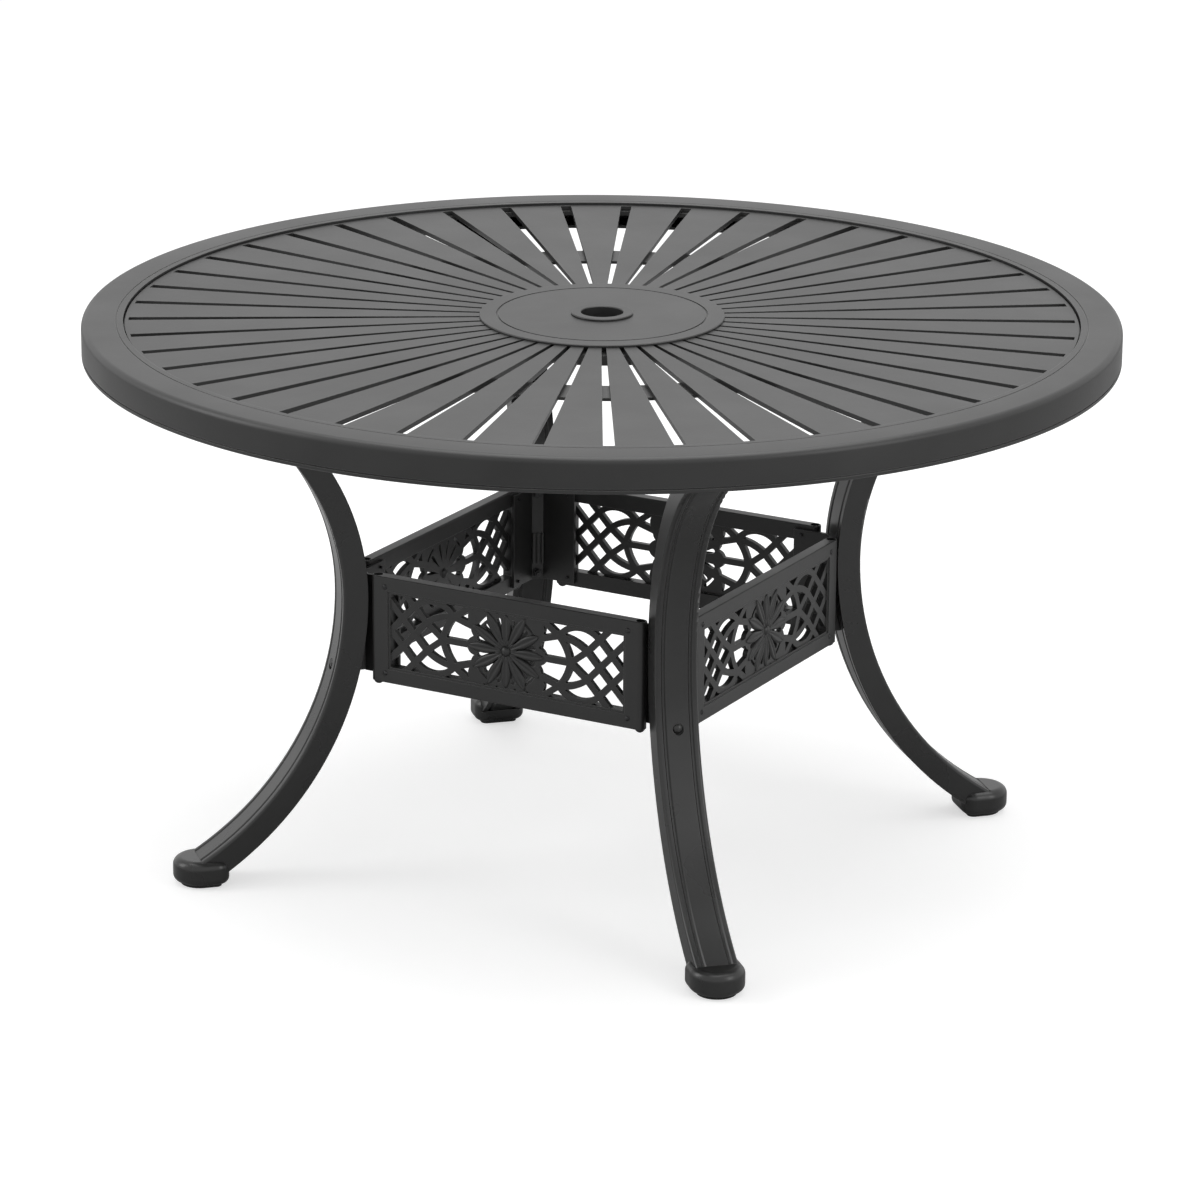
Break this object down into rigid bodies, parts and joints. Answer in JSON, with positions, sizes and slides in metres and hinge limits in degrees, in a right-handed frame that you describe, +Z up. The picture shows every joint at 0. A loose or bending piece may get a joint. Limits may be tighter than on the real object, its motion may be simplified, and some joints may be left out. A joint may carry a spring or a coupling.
{
  "type": "umbrella table",
  "caption": "Round outdoor dining table with a radially slatted top, a lift-out umbrella ring, four curved legs with foot caps, and pierced fretwork panels between the legs.",
  "frame": {"origin": "on the floor, straight below the centre of the umbrella hole", "axes": "+Z up; the four legs stand at 45 degrees to +X and +Y, and the panels face +X, -X, +Y and -Y"},
  "size_m": [1.3199, 1.32, 0.7228],
  "materials": {
    "top_coat": "satin powder coat on cast aluminium",
    "leg_coat": "satin powder coat on cast aluminium",
    "panel_coat": "satin powder coat on cast aluminium",
    "ring_coat": "satin powder coat",
    "hardware": "black coated steel",
    "glide_plastic": "matte"
  },
  "bodies": {
    "table": {"bracket_bolts": "hardware", "bracket_washers": "hardware", "corner_bracket_back_left": "panel_coat", "corner_bracket_back_right": "panel_coat", "corner_bracket_front_left": "panel_coat", "corner_bracket_front_right": "panel_coat", "end_rod_nuts": "hardware", "end_rods": "hardware", "foot_cap_back_left": "leg_coat", "foot_cap_back_right": "leg_coat", "foot_cap_front_left": "leg_coat", "foot_cap_front_right": "leg_coat", "glide_back_left": "glide_plastic", "glide_back_right": "glide_plastic", "glide_front_left": "glide_plastic", "glide_front_right": "glide_plastic", "hub_backing_plate": "top_coat", "hub_disc": "top_coat", "hub_screws": "hardware", "leg_back_left": "leg_coat", "leg_back_right": "leg_coat", "leg_front_left": "leg_coat", "leg_front_right": "leg_coat", "leg_head_bolts": "hardware", "leg_head_nuts": "hardware", "leg_head_washers": "hardware", "leg_through_bolts": "leg_coat", "leg_through_nuts": "hardware", "panel_back": "panel_coat", "panel_front": "panel_coat", "panel_left": "panel_coat", "panel_right": "panel_coat", "panel_screws": "hardware", "rim": "top_coat", "slatted_top": "top_coat", "support_ring": "top_coat", "support_ring_screws": "hardware"},
    "ring": {"umbrella_ring": "ring_coat"}
  },
  "joints": [
    {"name": "umbrella_ring_lift", "type": "slide", "parent": "table", "child": "ring", "axis": [0, 0, 1], "range_m": [0, 0.05]}
  ]
}
